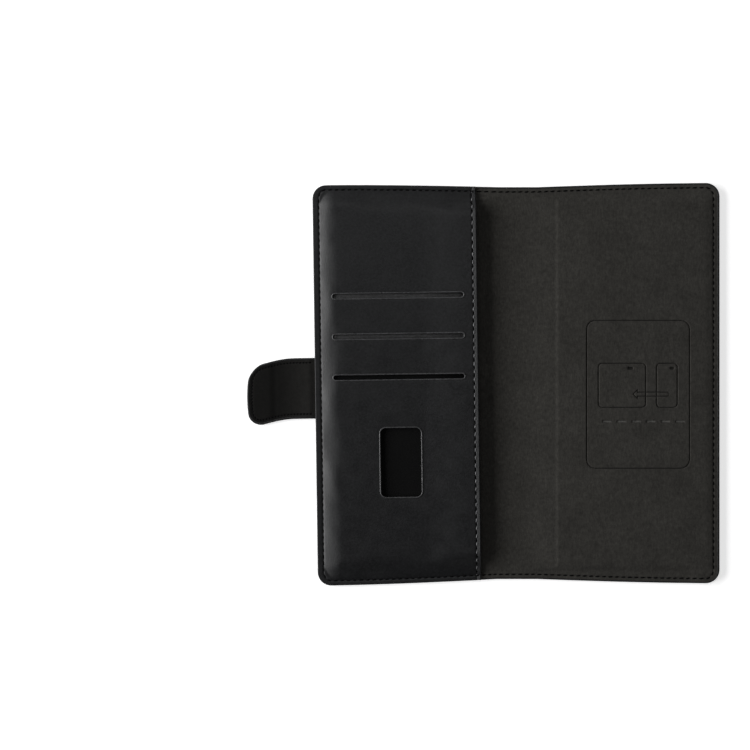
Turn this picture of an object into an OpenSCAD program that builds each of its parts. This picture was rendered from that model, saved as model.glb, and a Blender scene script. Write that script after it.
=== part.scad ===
// Folio wallet for a phone, lying open on its back with the inside facing up.
// Frame: +X right, +Y towards the top edge, +Z up; origin at the spine centre on the outer face.
// Front cover (cards) on the -X side with the closing strap, back cover (phone dock) on the +X side.
// Units: millimetres.

/* [Covers] */
// Distance from the spine centre to each cover's free edge
cover_reach = 89.5; // [86:0.5:96]
// Half the height of a cover at its free edge
cover_half_height = 89; // [87:0.2:94]
// Half the height across the spine
spine_half_height = 87; // [85:0.2:88]
// Radius of the four outer corners
corner_radius = 6; // [5.5:0.5:10]
// Width of the rim where the outer leather is turned over the edge
rim_width = 1; // [0.6:0.1:1.4]

/* [Layers] */
// Thickness of the outer leather
leather_t = 0.8; // [0.7:0.05:0.9]
// Thickness of the stiffener board in each cover
board_t = 1; // [0.9:0.05:1.2]
// Thickness of the suede lining
lining_t = 0.5; // [0.4:0.05:0.6]
// Distance from a cover's free edge to its board
board_inset = 4.5; // [4.5:0.1:6]
// Height of each board
board_height = 163.4; // [158:0.2:166]
// Distance from the spine centre to the board and to the free edge of the card panel
board_start = 17; // [15:0.5:19]

/* [Spine] */
// Distance between the two fold lines
fold_spacing = 14.7; // [14:0.1:17]
// Free gap left at each fold line
fold_gap = 2; // [2:0.1:2.6]
// Thickness of the reinforcing tape in the spine
tape_t = 0.2; // [0.15:0.05:0.25]

/* [Card panel] */
// Thickness of the card panel's leather
panel_t = 0.7; // [0.6:0.05:0.8]
// Thickness of each pocket sheet behind the panel
divider_t = 0.2; // [0.15:0.05:0.25]
// Free gap in front of each pocket sheet
pocket_gap = 0.2; // [0.2:0.05:0.3]
// Width of the flat border that is sewn to the cover
panel_border = 3.1; // [3:0.05:3.2]
// Opening length of a card slot
slot_length = 57.8; // [56:0.2:60]
// Opening height of a card slot
slot_height = 2; // [1.4:0.1:2.6]
// Distance between the card slots
slot_pitch = 18; // [16:0.5:20]
// Height of the top card slot above the origin
slot_top_y = 39.3; // [34:0.1:42]
// Distance from the spine centre to the middle of the slots
slot_x = 52.2; // [50:0.1:54]
// Width of the leather welt around each opening
welt_width = 0.6; // [0.4:0.1:0.9]
// Height of the welts above the panel
welt_rise = 0.25; // [0.15:0.05:0.4]
// Width of the window
window_width = 18; // [16:0.2:24]
// Height of the window
window_height = 30.5; // [26:0.5:34]
// Distance from the spine centre to the window's centre
window_x = 51.8; // [46:0.1:58]
// Height of the window's centre above the origin
window_y = -34.5; // [-40:0.1:-32]
// Corner radius of the window
window_radius = 2.5; // [1.5:0.5:5]
// Width of the stiffened strip along the panel's free edge
hem_width = 3.4; // [2.8:0.1:4]

/* [Phone dock] */
// Width of the dock outline
dock_width = 46; // [40:1:50]
// Height of the dock outline
dock_height = 66; // [56:1:76]
// Distance from the spine centre to the dock's centre
dock_x = 53.8; // [48:0.1:56]
// Height of the dock's centre above the origin
dock_y = -5; // [-8:0.5:8]
// Corner radius of the dock outline
dock_radius = 4; // [3:0.5:8]
// Width of the debossed lines
deboss_width = 0.5; // [0.4:0.1:1]
// Depth of the debossed lines
deboss_depth = 0.25; // [0.15:0.05:0.35]
// Diameter of the dock magnets
magnet_d = 12; // [8:1:13]
// Distance between neighbouring dock magnets, across and up
magnet_pitch = [22, 20]; // [14:1:24]
// Thickness of the steel plate under the magnets
yoke_t = 0.3; // [0.2:0.05:0.4]

/* [Strap] */
// Distance the strap reaches past the cover's edge
strap_reach = 31; // [30:0.5:36]
// Height of the strap
strap_height = 27; // [22:1:34]
// Height of the strap's centre above the origin
strap_y = -1.2; // [-6:0.2:6]
// Thickness of the strap
strap_t = 1.8; // [1.6:0.1:1.8]
// Corner radius of the strap's end
strap_radius = 7; // [4:0.5:7]
// Distance from the cover's edge to the strap's fold line
strap_stand_off = 1.6; // [1.6:0.1:2]
// Clearance under the strap when the wallet is closed
strap_clearance = 0.6; // [0.5:0.1:0.9]
// Free gap left at each fold line of the strap
strap_gap = 2.3; // [2.3:0.1:3]
// Width and height of the strap's magnet and of its steel plate in the back cover
clasp_size = [5, 16]; // [4:1:18]
// Distance from the strap's second fold line to its magnet
clasp_offset = 5; // [4:0.5:5.5]

/* [Stitching] */
// Distance from an edge to the perimeter seam
seam_inset = 2.6; // [2.2:0.1:3]
// Width of the thread
thread_width = 0.5; // [0.3:0.1:0.6]
// Height of the thread above the face it lies on
thread_rise = 0.25; // [0.15:0.05:0.3]

/* [Hidden] */
$fn = 48;
eps = 0.02;
corner_lap = 0.004;
fold_x = fold_spacing / 2;
cover_start = fold_x + fold_gap / 2;
spine_width = fold_spacing - fold_gap;
flare = atan((cover_half_height - spine_half_height) / (cover_reach - cover_start));
flange_z = leather_t + lining_t;
board_top = leather_t + board_t;
lining_side_t = lining_t * 0.7;
plateau_z = board_top + lining_t;
layer_pitch = divider_t + pocket_gap;
backing_z = plateau_z + pocket_gap;
panel_top = backing_z + 3 * layer_pitch + panel_t;
panel_under = panel_top - panel_t;
panel_border_top = flange_z + panel_t;
closed_thickness = fold_spacing + flange_z;
strap_root_x = cover_reach + strap_stand_off;
strap_bend_x = strap_root_x + closed_thickness + strap_clearance;
strap_end_x = cover_reach + strap_reach;
strap_leather_t = strap_t * 0.4;
strap_magnet_t = strap_t * 0.4;
magnet_t = board_t - yoke_t;
catch_x = cover_reach - board_inset - clasp_size[0] - 0.4;
far = 200;

// One assembled part, or "all"

// ---------- shared outlines ----------

// Rectangle with round corners, centred
module rounded_rect(w, h, r) {
    square([w - 2 * r, h], center = true);
    square([w, h - 2 * r], center = true);
    for (x = [-1, 1], y = [-1, 1])
        translate([x * (w / 2 - r), y * (h / 2 - r)])
            circle(r = r);
}

// Line of the given width along a rounded rectangle
module rect_line(w, h, r, line) {
    difference() {
        rounded_rect(w, h, r);
        rounded_rect(w - 2 * line, h - 2 * line, max(r - line, line / 2));
    }
}

// Half height of a cover at a distance x from the spine centre
function half_height(x) = spine_half_height + (x - cover_start) * tan(flare);

// Outline of the +X cover, drawn in from its edge by inset and starting at inner_x
module cover_outline(inset, inner_x) {
    r = max(corner_radius - inset, 0.8);
    edge = cover_reach - inset;
    centre = [edge - r, half_height(edge - r) - (inset + r) / cos(flare)];
    tangent = centre + (r - corner_lap) * [-sin(flare), cos(flare)];
    inner_y = half_height(inner_x) - inset / cos(flare);
    for (side = [-1, 1])
        translate([centre[0], side * centre[1]])
            circle(r = r);
    polygon([
        [inner_x, -inner_y],
        [tangent[0], -tangent[1]],
        [centre[0], -centre[1]],
        [edge, -centre[1]],
        [edge, centre[1]],
        centre,
        tangent,
        [inner_x, inner_y]
    ]);
}

// Band between two insets along the cover's top, free and bottom edges
module cover_band(inset, width, inner_x) {
    difference() {
        cover_outline(inset, inner_x);
        cover_outline(inset + width, inner_x - 1);
    }
}

// Slab of height h standing on z
module slab(z, h) {
    translate([0, 0, z])
        linear_extrude(height = h)
            children();
}

// Part of a 2D shape with x between low and high
module between_x(low, high) {
    intersection() {
        children();
        translate([low, -far])
            square([high - low, 2 * far]);
    }
}

// Part of a 2D shape below the given y
module below_y(limit) {
    intersection() {
        children();
        translate([-far, -far])
            square([2 * far, far + limit]);
    }
}

// ---------- layers shared by the two covers, drawn on the +X side ----------

module cover_leather() {
    slab(0, leather_t)
        cover_outline(0, cover_start);
    slab(0, flange_z)
        cover_band(0, rim_width, cover_start);
}

// Outline of the board, grown by the given margin
module board_outline(margin) {
    board_end = cover_reach - board_inset;
    translate([(board_start + board_end) / 2, 0])
        rounded_rect(board_end - board_start + 2 * margin, board_height + 2 * margin, 3 + margin);
}

module board_block() {
    slab(leather_t, board_t)
        board_outline(0);
}

module lining_block() {
    difference() {
        union() {
            slab(leather_t, lining_t)
                cover_outline(rim_width + eps, cover_start);
            slab(leather_t, board_t + lining_t)
                board_outline(lining_side_t);
        }
        slab(leather_t - 1, board_t + 1)
            board_outline(eps);
    }
}

// Space taken by the strap's sewn-in end
module anchor_block(grow) {
    translate([cover_reach - board_inset + 0.2 - grow, strap_y - strap_height / 2 - grow, leather_t])
        cube([board_inset - 0.2 + 2 * grow, strap_height + 2 * grow, lining_t + grow]);
}

// ---------- front cover ----------

module front_outer_leather() {
    color("#242426")
        mirror([1, 0, 0])
            difference() {
                cover_leather();
                anchor_block(eps);
            }
}

module front_board() {
    color("#6b655c")
        mirror([1, 0, 0])
            board_block();
}

module front_lining() {
    color("#2b2a28")
        mirror([1, 0, 0])
            difference() {
                lining_block();
                anchor_block(eps);
            }
}

module strap_anchor() {
    color("#1f1f20")
        mirror([1, 0, 0])
            anchor_block(0);
}

module pocket_backing() {
    color("#171718")
        mirror([1, 0, 0])
            slab(backing_z, divider_t)
                cover_outline(panel_border + panel_t + 0.1, board_start + 0.2);
}

module pocket_divider(level, top_y) {
    color("#171718")
        mirror([1, 0, 0])
            slab(backing_z + level * layer_pitch, divider_t)
                below_y(top_y)
                    cover_outline(panel_border + panel_t + 0.1, board_start + hem_width + 0.4);
}

module pocket_divider_middle() {
    pocket_divider(1, slot_top_y - slot_pitch + 4);
}

module pocket_divider_bottom() {
    pocket_divider(2, slot_top_y - 2 * slot_pitch + 4);
}

// Stadium shape of a card slot, grown by the given margin
module slot_shape(margin) {
    rounded_rect(slot_length + 2 * margin, slot_height + 2 * margin, slot_height / 2 + margin - eps);
}

module window_shape(margin) {
    rounded_rect(window_width + 2 * margin, window_height + 2 * margin, window_radius + margin);
}

module card_panel_leather() {
    color("#222225")
        mirror([1, 0, 0])
            difference() {
                union() {
                    slab(flange_z, panel_t)
                        cover_band(0, panel_border + panel_t, board_start);
                    slab(flange_z, panel_top - flange_z)
                        cover_band(panel_border, panel_t, board_start);
                    slab(panel_under, panel_t)
                        cover_outline(panel_border, board_start);
                }
                for (i = [0:2])
                    translate([slot_x, slot_top_y - i * slot_pitch, panel_under - 1])
                        linear_extrude(height = panel_t + 2)
                            slot_shape(welt_width);
                translate([window_x, window_y, panel_under - 1])
                    linear_extrude(height = panel_t + 2)
                        window_shape(welt_width);
            }
}

// Leather welt that lines one card slot and stands a little proud of the panel
module slot_welt(index) {
    color("#2c2c30")
        translate([-slot_x, slot_top_y - index * slot_pitch, panel_under])
            linear_extrude(height = panel_t + welt_rise)
                difference() {
                    slot_shape(welt_width - eps);
                    slot_shape(0);
                }
}

module slot_welt_top() {
    slot_welt(0);
}

module slot_welt_middle() {
    slot_welt(1);
}

module slot_welt_bottom() {
    slot_welt(2);
}

module window_welt() {
    color("#2c2c30")
        translate([-window_x, window_y, panel_under])
            linear_extrude(height = panel_t + welt_rise)
                difference() {
                    window_shape(welt_width - eps);
                    window_shape(0);
                }
}

module flap_edge_strip() {
    color("#242426")
        translate([-board_start - hem_width - 0.2, -spine_half_height + 6, backing_z + divider_t])
            cube([hem_width, 2 * spine_half_height - 12, panel_under - backing_z - divider_t]);
}

module flap_hem_thread() {
    color("#0c0c0d")
        translate([-board_start - 2, -spine_half_height + 6, panel_top])
            cube([thread_width, 2 * spine_half_height - 12, thread_rise]);
}

// Perimeter seam of one cover between two distances from the spine centre
module seam(low, high, z) {
    slab(z, thread_rise)
        between_x(low, high)
            cover_band(seam_inset - thread_width / 2, thread_width, cover_start);
}

module front_perimeter_thread() {
    color("#0c0c0d")
        mirror([1, 0, 0]) {
            seam(board_start + 0.6, cover_reach, panel_border_top);
            seam(cover_start + 0.4, board_start - 0.4, flange_z);
        }
}

// ---------- spine ----------

module spine_slab(z, h, width, height) {
    translate([-width / 2, -height / 2, z])
        cube([width, height, h]);
}

module spine_leather() {
    color("#242426") {
        spine_slab(0, leather_t, spine_width, 2 * spine_half_height);
        for (side = [-1, 1])
            translate([-spine_width / 2, side * (spine_half_height - rim_width / 2) - rim_width / 2, 0])
                cube([spine_width, rim_width, flange_z]);
    }
}

module spine_tape() {
    color("#8b8578")
        spine_slab(leather_t, tape_t, spine_width - 2, 2 * spine_half_height - 16);
}

module spine_lining() {
    color("#2b2a28")
        difference() {
            spine_slab(leather_t, lining_t, spine_width, 2 * (spine_half_height - rim_width - eps));
            spine_slab(leather_t - 1, tape_t + 1, spine_width - 2 + 2 * eps, 2 * spine_half_height - 16 + 2 * eps);
        }
}

module spine_thread() {
    color("#0c0c0d")
        for (side = [-1, 1])
            translate([0, side * (spine_half_height - seam_inset), flange_z + thread_rise / 2])
                cube([spine_width - 0.6, thread_width, thread_rise], center = true);
}

// ---------- back cover ----------

module back_outer_leather() {
    color("#242426")
        cover_leather();
}

// Places its children at each dock magnet
module at_magnets() {
    for (x = [-1, 1], y = [-1:1])
        translate([dock_x + x * magnet_pitch[0] / 2, dock_y + y * magnet_pitch[1], 0])
            children();
}

module yoke_block(grow) {
    translate([dock_x, dock_y, leather_t - grow])
        linear_extrude(height = yoke_t + grow)
            rounded_rect(dock_width - 6 + 2 * grow, dock_height - 6 + 2 * grow, 3);
}

module catch_block(grow) {
    translate([catch_x - grow, strap_y - clasp_size[1] / 2 - grow, leather_t - grow])
        cube([clasp_size[0] + 2 * grow, clasp_size[1] + 2 * grow, board_t * 0.6 + grow]);
}

module back_board() {
    color("#6b655c")
        difference() {
            board_block();
            yoke_block(eps);
            catch_block(eps);
            at_magnets()
                cylinder(h = far, d = magnet_d + 2 * eps);
        }
}

module dock_yoke_plate() {
    color("#a9adb1")
        yoke_block(0);
}

module dock_magnets() {
    color("#c3c6c9")
        at_magnets()
            translate([0, 0, leather_t + yoke_t])
                cylinder(h = magnet_t, d = magnet_d);
}

module catch_plate() {
    color("#a9adb1")
        catch_block(0);
}

// Arrow that points towards the spine
module arrow_shape(length, shaft, head) {
    polygon([
        [-length / 2, 0],
        [-length / 2 + head, head],
        [-length / 2 + head, shaft],
        [length / 2, shaft],
        [length / 2, -shaft],
        [-length / 2 + head, -shaft],
        [-length / 2 + head, -head]
    ]);
}

// Outline of the same arrow, drawn inside its edge with the given line width
module arrow_line(length, shaft, head, line) {
    tip = line * sqrt(2);
    difference() {
        arrow_shape(length, shaft, head);
        translate([(tip - line) / 2, 0])
            arrow_shape(length - tip - line, shaft - line, head - tip - line);
    }
}

// Lines pressed into the lining: the dock outline and a plain placement sign
module dock_lines() {
    rect_line(dock_width, dock_height, dock_radius, deboss_width);
    translate([-7.1, 4])
        rect_line(21.5, 20, 2, deboss_width);
    translate([12.8, 4])
        rect_line(9.7, 20, 2, deboss_width);
    translate([-3.4, 11.6])
        rounded_rect(2.6, 1.4, 0.6);
    translate([15, 11.6])
        rounded_rect(2.2, 1.2, 0.5);
    translate([5.6, 0.1])
        arrow_line(16, 1.1, 2.3, deboss_width * 0.8);
    for (x = [-13:6.5:19.5])
        translate([x - 3, -12])
            rounded_rect(4, 1, 0.4);
}

module back_lining() {
    color("#2b2a28")
        difference() {
            lining_block();
            translate([dock_x, dock_y, plateau_z - deboss_depth])
                linear_extrude(height = 1)
                    dock_lines();
        }
}

module back_perimeter_thread() {
    color("#0c0c0d")
        seam(cover_start + 0.4, cover_reach, flange_z);
}

// ---------- closing strap ----------

// Strap outline between two distances from the spine centre, drawn in by inset
module strap_outline(inset, low, high) {
    between_x(low, high)
        translate([strap_end_x - 30, strap_y])
            rounded_rect(60 - 2 * inset, strap_height - 2 * inset, strap_radius - inset);
}

module strap_seam(low, high) {
    color("#0c0c0d")
        mirror([1, 0, 0])
            slab(strap_t, thread_rise)
                difference() {
                    strap_outline(seam_inset - 0.5, low, high);
                    strap_outline(seam_inset - 0.5 + thread_width, low - 1, high + 1);
                }
}

module strap_layer(z, h, low, high) {
    mirror([1, 0, 0])
        slab(z, h)
            strap_outline(0, low, high);
}

module magnet_block(grow) {
    x = -strap_bend_x - clasp_offset - clasp_size[0];
    translate([x - grow, strap_y - clasp_size[1] / 2 - grow, strap_leather_t - grow])
        cube([clasp_size[0] + 2 * grow, clasp_size[1] + 2 * grow, strap_magnet_t + grow]);
}

module strap_neck_leather() {
    color("#242426")
        strap_layer(0, strap_leather_t, strap_root_x + strap_gap / 2, strap_bend_x - strap_gap / 2);
}

module strap_neck_lining() {
    color("#1d1d1d")
        strap_layer(
            strap_leather_t,
            strap_t - strap_leather_t,
            strap_root_x + strap_gap / 2,
            strap_bend_x - strap_gap / 2
        );
}

module strap_neck_thread() {
    strap_seam(strap_root_x + strap_gap / 2 + 0.3, strap_bend_x - strap_gap / 2 - 0.3);
}

module strap_tip_leather() {
    color("#242426")
        strap_layer(0, strap_leather_t, strap_bend_x + strap_gap / 2, strap_end_x);
}

module strap_tip_lining() {
    color("#1d1d1d")
        difference() {
            strap_layer(strap_leather_t, strap_t - strap_leather_t, strap_bend_x + strap_gap / 2, strap_end_x);
            magnet_block(eps);
        }
}

module strap_magnet() {
    color("#c3c6c9")
        magnet_block(0);
}

module strap_tip_thread() {
    strap_seam(strap_bend_x + strap_gap / 2 + 0.3, strap_end_x);
}

// ---------- node selection ----------

front_outer_leather();
front_board();
front_lining();
strap_anchor();
pocket_backing();
pocket_divider_middle();
pocket_divider_bottom();
card_panel_leather();
slot_welt_top();
slot_welt_middle();
slot_welt_bottom();
window_welt();
flap_edge_strip();
flap_hem_thread();
front_perimeter_thread();
spine_leather();
spine_tape();
spine_lining();
spine_thread();
back_outer_leather();
back_board();
back_lining();
back_perimeter_thread();
dock_yoke_plate();
dock_magnets();
catch_plate();
strap_neck_leather();
strap_neck_lining();
strap_neck_thread();
strap_tip_leather();
strap_tip_lining();
strap_magnet();
strap_tip_thread();
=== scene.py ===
"""Looks of an open folio wallet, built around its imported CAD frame.

Shapes are worked out in millimetres on the +X cover, mirrored for the front one, and made in metres.
Rings run in from a cover's outside edge, so rims, seams and slopes follow its outline.
"""

import math

import bpy
import numpy as np
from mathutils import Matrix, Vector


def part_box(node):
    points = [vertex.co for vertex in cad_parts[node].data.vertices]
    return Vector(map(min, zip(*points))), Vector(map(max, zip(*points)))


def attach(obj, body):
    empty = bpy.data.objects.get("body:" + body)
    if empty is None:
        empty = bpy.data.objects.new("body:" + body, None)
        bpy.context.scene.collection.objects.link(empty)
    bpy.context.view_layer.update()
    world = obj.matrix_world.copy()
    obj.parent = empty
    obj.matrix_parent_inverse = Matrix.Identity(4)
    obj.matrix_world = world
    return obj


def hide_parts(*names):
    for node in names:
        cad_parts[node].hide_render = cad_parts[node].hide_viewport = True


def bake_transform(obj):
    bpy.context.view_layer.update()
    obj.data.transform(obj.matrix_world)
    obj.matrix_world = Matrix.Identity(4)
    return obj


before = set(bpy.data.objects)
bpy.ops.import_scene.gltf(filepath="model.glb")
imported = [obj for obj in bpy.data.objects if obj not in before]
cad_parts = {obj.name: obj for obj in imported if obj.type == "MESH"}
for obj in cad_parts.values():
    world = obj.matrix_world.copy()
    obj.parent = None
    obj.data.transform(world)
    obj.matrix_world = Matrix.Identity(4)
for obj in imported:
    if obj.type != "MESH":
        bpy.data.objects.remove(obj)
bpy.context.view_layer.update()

MM = 0.001


def mm_box(node):
    """Lowest and highest corner of a CAD node in millimetres."""
    low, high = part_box(node)
    return np.array(low) / MM, np.array(high) / MM


# ---------- sizes from the frame ----------

REACH = mm_box("back_outer_leather")[1][0]
HALF_EDGE = mm_box("back_outer_leather")[1][1]
HALF_SPINE = mm_box("spine_leather")[1][1]
LEATHER_TOP = mm_box("back_board")[0][2]
FLANGE = mm_box("spine_leather")[1][2]
PLATEAU = mm_box("back_lining")[1][2]
PANEL_TOP = mm_box("flap_hem_thread")[0][2]
PANEL_X = -mm_box("card_panel_leather")[1][0]
BOARD_LOW, BOARD_HIGH = mm_box("back_board")
STRAP_LOW = mm_box("strap_tip_leather")[0]
STRAP_HIGH = mm_box("strap_neck_lining")[1]

# ---------- other sizes, in millimetres ----------

CORNER = 6.0  # outline radius of the covers
PANEL_THICK = 0.7
LINING_THICK = 0.48
TURNED_EDGE = 1.0  # leather turned over the edge of a cover
SEAM = 2.7  # ring of the perimeter seam
SEAM_PITCH = 2.86
HEM_PITCH = 3.48
HEM_X = 18.9
PANEL_BORDER = 3.0
PANEL_SLOPE = 9.0  # width of the slope from the sewn border up to the panel's face
PANEL_SWELL = 0.3
FLAP_LIFT, FLAP_BEND = 1.7, 24  # how far the free edge stands up, and the width that bends for it
WELT = 0.6  # width of the welts round the slots and the window
WINDOW_ROUND = 2.7  # corner radius of the window's welt
FLARE_START = 9.0  # where the covers begin to grow taller than the spine
RING_PULL = 0.55  # how much closer rings lie to a cover's top and bottom edges than to its side
LEAN = 0.014  # how far the front cover has turned on the floor, in radians
LEAN_START, LEAN_BLEND, LEAN_PIVOT = 6.0, 11.0, 12.0
BACK_DRAW = 0.5  # how far the back cover's open edge is drawn out
BACK_LIFT = 0.5  # how much thicker that edge is, because it takes the pull of the magnets
DROOP_START, DROOP_LENGTH = 98.0, 10.5  # the curved stretch of the drooping strap
DROOP_CURVE, DROOP_SLOPE = 0.012, 0.25
STRAP_JOIN = 99.4  # where the strap's two pieces meet
STRAP_REACH = 119.7
STRAP_ROUND = 6.5
STRAP_MID = (STRAP_LOW[1] + STRAP_HIGH[1]) / 2
STRAP_HALF = (STRAP_HIGH[1] - STRAP_LOW[1]) / 2
STRAP_TOP = STRAP_HIGH[2]
STRAP_RIM = 1.0
STRAP_CREASE = 107.7
DOCK = (53.8, -5.0, 46.0, 66.0, 4.0)  # middle x and y, width, height, corner radius
GROOVE = 0.5  # width of the dock's pressed lines
GROOVE_DEEP = 0.3
GROOVE_GRID = 0.2  # grid step where they run
DASH_PITCH = 6.5


def opening(node, corner=None):
    """CAD node, middle, half size and corner radius of a panel opening, along the middle of its welt."""
    low, high = mm_box(node)
    half = (high - low)[:2] / 2 - WELT / 2
    return node, (low + high)[:2] / 2, half, corner or half[1] - 0.01


SLOTS = [opening(f"slot_welt_{n}") for n in ("top", "middle", "bottom")]
WINDOW = opening("window_welt", WINDOW_ROUND)
OPENINGS = [*SLOTS, WINDOW]

# ---------- small maths ----------


def smoothstep(t):
    t = np.clip(t, 0, 1)
    return t * t * (3 - 2 * t)


def bump(t):
    """1 at t = 0, falling to 0 at t = -1 and 1."""
    return smoothstep(1 - np.abs(t))


def ease_out(t):
    t = np.clip(t, 0, 1)
    return 1 - (1 - t) ** 2


def rounding(t, radius):
    """How far an edge of that radius has dropped at a distance t in from it."""
    t = np.clip(t, 0, radius)
    return radius - np.sqrt(np.maximum(radius**2 - (radius - t) ** 2, 0))


def wave(x, y, size, seed):
    """Smooth unevenness between about -1 and 1, with features of the given size in millimetres."""
    total = 0
    for i in range(5):
        angle = seed * 1.7 + i * 2.4
        turn = 2 * np.pi / (size * (0.75 + 0.17 * i))
        along = x * np.cos(angle) + y * np.sin(angle)
        total = total + np.sin(turn * along + seed * 3.1 + 1.9 * i)
    return total / 3.2


def rect_distance(x, y, half_w, half_h, radius):
    """Signed distance outside a rounded rectangle that is centred at 0, 0."""
    qx = np.abs(x) - (half_w - radius)
    qy = np.abs(y) - (half_h - radius)
    outside = np.hypot(np.maximum(qx, 0), np.maximum(qy, 0))
    return outside + np.minimum(np.maximum(qx, qy), 0) - radius


def edge_distance(dx, dy, radius):
    """Distance in from an outline, with its corner rounded to that radius."""
    corner = radius - np.hypot(radius - dx, radius - dy)
    return np.where((dx < radius) & (dy < radius), corner, np.minimum(dx, dy))


def half_height(x):
    t = np.clip((np.abs(x) - FLARE_START) / (REACH - FLARE_START), 0, 1)
    return HALF_SPINE + (HALF_EDGE - HALF_SPINE) * np.sin(np.pi / 2 * t)


def settle(points):
    """Turns the front cover a little on the floor, draws out the back cover's open edge and lets the
    strap's end droop sideways, as the object lies."""
    p = np.array(points, float)
    x, y = p[:, 0].copy(), p[:, 1].copy()
    share = smoothstep((-x - LEAN_START) / LEAN_BLEND)
    past = np.maximum(-x - DROOP_START, 0)
    near = np.minimum(past, DROOP_LENGTH)
    p[:, 0] = x - LEAN * y * share + BACK_DRAW * smoothstep((x - 76) / 14)
    p[:, 1] = y + LEAN * (x + LEAN_PIVOT) * share - DROOP_CURVE * near**2 - DROOP_SLOPE * (past - near)
    return p


def lines(low, high, step, *zones):
    """Sorted grid lines from low to high, with finer zones of (low, high, step)."""
    made = [np.linspace(low, high, max(2, round((high - low) / step) + 1))]
    for a, b, fine in zones:
        a, b = max(a, low), min(b, high)
        if b > a:
            made[0] = made[0][(made[0] <= a + 1e-6) | (made[0] >= b - 1e-6)]
            made.append(np.linspace(a, b, max(2, round((b - a) / fine) + 1)))
    every = np.sort(np.concatenate([*made, [low, high]]))
    kept = [every[0]]
    for v in every[1:]:
        if v - kept[-1] > 0.012:
            kept.append(v)
    kept[-1] = high
    return np.array(kept)


# ---------- meshes ----------


def add_object(name, data):
    made = bpy.data.objects.new(name, data)
    bpy.context.scene.collection.objects.link(made)
    return made


def make_mesh(name, points, faces, material, sharp=40):
    """Object from points in millimetres."""
    mesh = bpy.data.meshes.new(name)
    mesh.from_pydata((np.asarray(points) * MM).tolist(), [], faces)
    mesh.polygons.foreach_set("use_smooth", np.ones(len(mesh.polygons), bool))
    mesh.update()
    mesh.set_sharp_from_angle(angle=math.radians(sharp))
    mesh.materials.append(material)
    return add_object(name, mesh)


def grid_faces(m, n, closed_m=False, closed_n=False):
    """Faces between the points of an m by n grid, which may close on itself either way."""
    index = np.arange(m * n).reshape(m, n)
    if closed_m:
        index = np.concatenate([index, index[:1]])
    if closed_n:
        index = np.concatenate([index, index[:, :1]], axis=1)
    corners = (index[:-1, :-1], index[:-1, 1:], index[1:, 1:], index[1:, :-1])
    return np.stack(corners, axis=-1).reshape(-1, 4).tolist()


class Plan:
    """A flat plan of grid patches, welded into one set of corners. dx and dy are distances in from the free
    edges, kept per corner so that heights can follow the outline."""

    def __init__(self):
        self.rows, self.quads, self.count = [], [], 0

    def patch(self, x, y, dx, dy):
        x, y, dx, dy = np.broadcast_arrays(x, y, dx, dy)
        m, n = x.shape
        index = np.arange(m * n).reshape(m, n) + self.count
        quads = np.stack([index[:-1, :-1], index[1:, :-1], index[1:, 1:], index[:-1, 1:]], axis=-1)
        self.rows.append(np.stack([x.ravel(), y.ravel(), dx.ravel(), dy.ravel()], axis=1))
        self.quads.append(quads.reshape(-1, 4))
        self.count += m * n

    def weld(self, keep=None):
        rows, quads = np.concatenate(self.rows), np.concatenate(self.quads)
        key = np.round(rows[:, :2] + 0.0000137, 4)
        _, first, back = np.unique(key, axis=0, return_index=True, return_inverse=True)
        rows, quads = rows[first], back.reshape(-1)[quads]
        if keep is not None:
            mid = rows[quads].mean(axis=1)
            quads = quads[keep(mid[:, 0], mid[:, 1])]
        faces = []
        x, y = rows[:, 0], rows[:, 1]
        a, b, c, d = quads.T
        area = (x[c] - x[a]) * (y[d] - y[b]) - (x[d] - x[b]) * (y[c] - y[a])
        for quad, turned in zip(quads.tolist(), (area < 0).tolist()):
            face = list(dict.fromkeys(quad))
            if len(face) > 2:
                faces.append(face[::-1] if turned else face)
        used = np.zeros(len(rows), bool)
        used[np.concatenate([np.array(f) for f in faces])] = True
        new = (np.cumsum(used) - 1).tolist()
        return rows[used], [[new[i] for i in f] for f in faces]


def shell(name, plan, top, bottom, material, keep=None, place=settle, pressed=()):
    """Closed shell over a plan between two heights, each a function of x, y, dx and dy. pressed is pairs
    of a depth function and the finish of the faces that it sinks."""
    rows, faces = plan.weld(keep)
    x, y, dx, dy = rows.T
    n = len(rows)
    upper = np.stack([x, y, top(x, y, dx, dy) + 0 * x], axis=1)
    lower = np.stack([x, y, bottom(x, y, dx, dy) + 0 * x], axis=1)
    edges = {}
    for face in faces:
        for a, b in zip(face, face[1:] + face[:1]):
            if not edges.pop((b, a), False):
                edges[(a, b)] = True
    walls = [[a + n, b + n, b, a] for a, b in edges]
    under = [[i + n for i in face[::-1]] for face in faces]
    points = np.concatenate([upper, lower])
    piece = make_mesh(name, place(points), faces + walls + under, material)
    slots = np.zeros(len(piece.data.polygons), dtype=np.int32)
    for depth, other in pressed:
        deep = depth(x, y) > 0.45 * GROOVE_DEEP
        piece.data.materials.append(other)
        sunk = np.array([deep[face].all() for face in faces])
        slots[: len(faces)][sunk] = len(piece.data.materials) - 1
    piece.data.polygons.foreach_set("material_index", slots)
    return piece


def pulled(ring):
    return ring - RING_PULL * np.sin(np.pi * np.clip(ring / CORNER, 0, 1) ** 0.9)


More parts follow.
